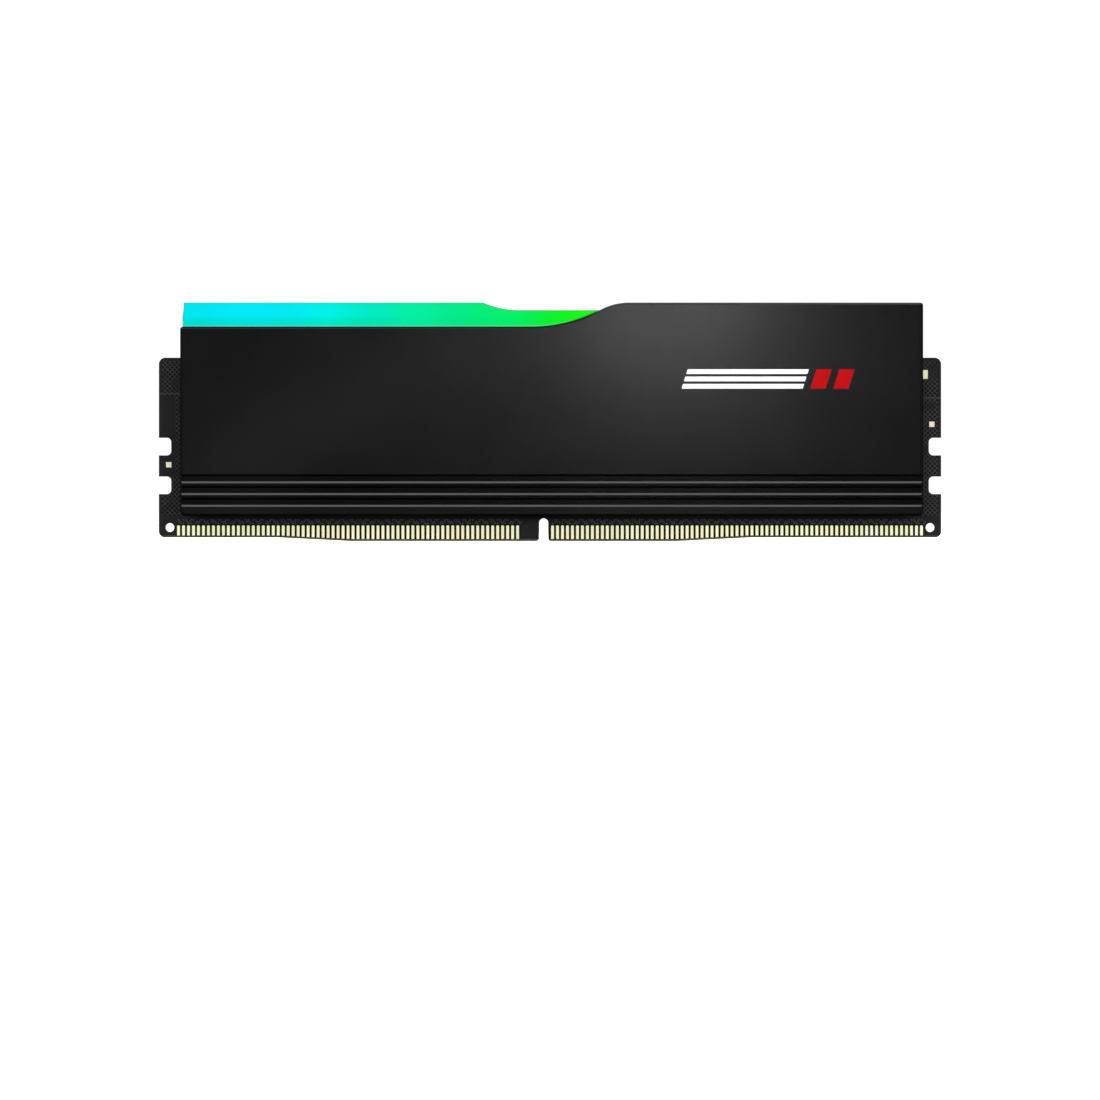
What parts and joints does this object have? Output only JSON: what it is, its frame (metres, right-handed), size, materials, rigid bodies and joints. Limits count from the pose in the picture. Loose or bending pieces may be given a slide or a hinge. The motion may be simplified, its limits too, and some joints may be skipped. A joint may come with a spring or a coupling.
{
  "type": "memory module",
  "caption": "Computer memory module: notched circuit board with gold edge contacts between grooved black heat spreaders, topped by a glowing light bar.",
  "frame": {"origin": "middle of the board's lower edge, in the board's mid-plane", "axes": "+X along the module to the right seen from the front, the front face looks towards -Y, +Z away from the socket"},
  "size_m": [0.1334, 0.0074, 0.0406],
  "materials": {
    "solder_mask": "semi-gloss black solder mask over glass-fibre laminate",
    "gold_plating": "polished pale gold plating",
    "chip_moulding": "fine matt moulding compound",
    "ferrite": "pressed powder, matt",
    "led_body": "white moulded case",
    "capacitor_body": "fired ceramic with tinned ends",
    "resistor_body": "black glazed ceramic",
    "thermal_pad": "soft grey silicone",
    "adhesive_tape": "thin double-sided foam tape",
    "light_diffuser": "milky diffusing plastic, lit from inside",
    "spreader_coating": "black satin coating on aluminium sheet"
  },
  "bodies": {
    "root": {"pcb": "solder_mask", "contacts_front": "gold_plating", "contacts_back": "gold_plating", "test_pads": "gold_plating", "dram_front_1": "chip_moulding", "dram_front_2": "chip_moulding", "dram_front_3": "chip_moulding", "dram_front_4": "chip_moulding", "dram_front_5": "chip_moulding", "dram_front_6": "chip_moulding", "dram_front_7": "chip_moulding", "dram_front_8": "chip_moulding", "dram_back_1": "chip_moulding", "dram_back_2": "chip_moulding", "dram_back_3": "chip_moulding", "dram_back_4": "chip_moulding", "dram_back_5": "chip_moulding", "dram_back_6": "chip_moulding", "dram_back_7": "chip_moulding", "dram_back_8": "chip_moulding", "pmic": "chip_moulding", "spd_hub": "chip_moulding", "rgb_controller": "chip_moulding", "inductor_1": "ferrite", "inductor_2": "ferrite", "inductor_3": "ferrite", "led_1": "led_body", "led_2": "led_body", "led_3": "led_body", "led_4": "led_body", "led_5": "led_body", "led_6": "led_body", "led_7": "led_body", "led_8": "led_body", "decoupling_caps_front": "capacitor_body", "decoupling_caps_back": "capacitor_body", "bulk_caps": "capacitor_body", "resistor_arrays": "resistor_body", "thermal_pad_front": "thermal_pad", "thermal_pad_back": "thermal_pad", "pmic_thermal_pad": "thermal_pad", "bar_tape_front": "adhesive_tape", "bar_tape_back": "adhesive_tape", "light_bar": "light_diffuser", "heat_spreader_front": "spreader_coating", "heat_spreader_back": "spreader_coating"}
  },
  "joints": []
}
